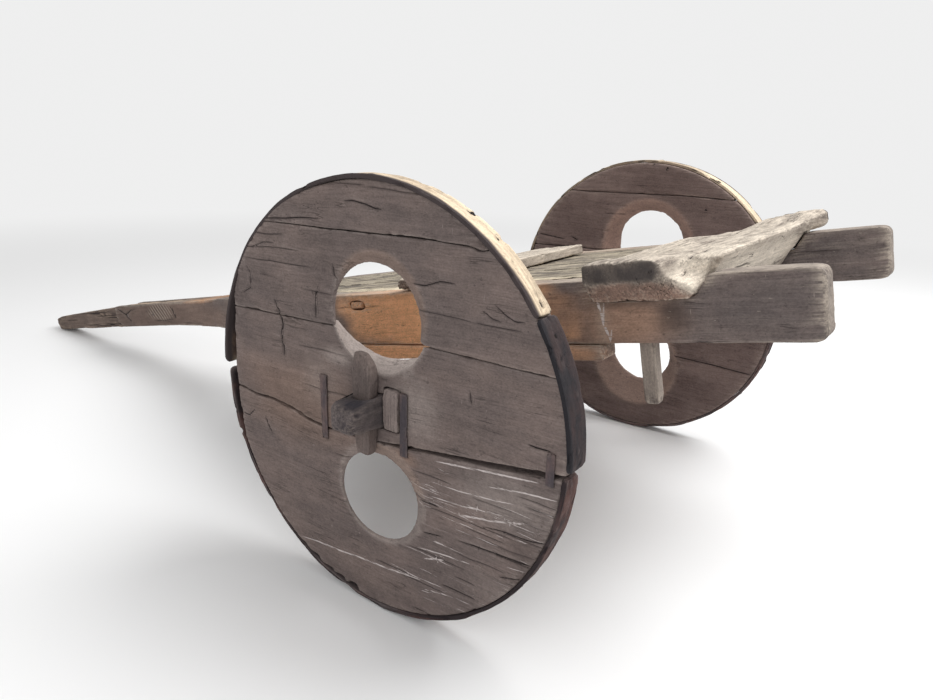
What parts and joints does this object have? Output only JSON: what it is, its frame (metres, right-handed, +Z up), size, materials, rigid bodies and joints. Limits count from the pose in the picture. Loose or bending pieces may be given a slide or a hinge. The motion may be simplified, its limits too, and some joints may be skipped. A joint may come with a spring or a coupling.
{
  "type": "bullock cart",
  "caption": "Old ox cart with plank disc wheels on a turning wooden axle, side beams drawn in to a long central pole, and a notched rear cross slab.",
  "frame": {"origin": "on the ground, under the middle of the whole cart's box", "axes": "+X forward along the pole, +Y to the cart's left, +Z up from the ground it is parked on"},
  "size_m": [4.4756, 1.95, 1.164],
  "materials": {
    "wheel_wood": "grey-brown weathered planks with open grain",
    "frame_wood": "weathered hewn timber, brown in shade",
    "floor_wood": "sun-bleached cracked boards",
    "slab_wood": "rough hewn, sun-bleached slab",
    "axle_wood": "dark, worn hardwood",
    "key_wood": "split hardwood, dry",
    "strap_iron": "rusted wrought iron"
  },
  "bodies": {
    "bed": {"axle_rail": "frame_wood", "bolster": "slab_wood", "centre_pole": "frame_wood", "floor_board_1": "floor_wood", "floor_board_2": "floor_wood", "floor_board_3": "floor_wood", "floor_board_4": "floor_wood", "floor_board_5": "floor_wood", "floor_board_6": "floor_wood", "front_rail": "frame_wood", "left_bearing_plank": "frame_wood", "left_front_axle_peg": "frame_wood", "left_rear_axle_peg": "frame_wood", "left_side_beam": "frame_wood", "left_stake": "frame_wood", "middle_rail": "frame_wood", "rear_cross_slab": "slab_wood", "rear_rail": "frame_wood", "right_bearing_plank": "frame_wood", "right_front_axle_peg": "frame_wood", "right_rear_axle_peg": "frame_wood", "right_side_beam": "frame_wood", "right_stake": "frame_wood", "tip_pins": "frame_wood"},
    "wheelset": {"axle": "axle_wood", "left_lower_board": "wheel_wood", "left_middle_board": "wheel_wood", "left_upper_board": "wheel_wood", "left_top_board": "wheel_wood", "left_upper_strap": "strap_iron", "left_rear_strap": "strap_iron", "left_lower_strap": "strap_iron", "left_wheel_key": "key_wood", "left_eye_wedge": "key_wood", "left_cramps": "strap_iron", "right_lower_board": "wheel_wood", "right_middle_board": "wheel_wood", "right_upper_board": "wheel_wood", "right_top_board": "wheel_wood", "right_upper_strap": "strap_iron", "right_rear_strap": "strap_iron", "right_lower_strap": "strap_iron", "right_wheel_key": "key_wood", "right_eye_wedge": "key_wood", "right_cramps": "strap_iron"}
  },
  "joints": [
    {"name": "wheelset_spin", "type": "hinge", "parent": "bed", "child": "wheelset", "pos_m": [-1.27653, 0, 0.582], "axis": [0, 1, 0], "continuous": true}
  ]
}
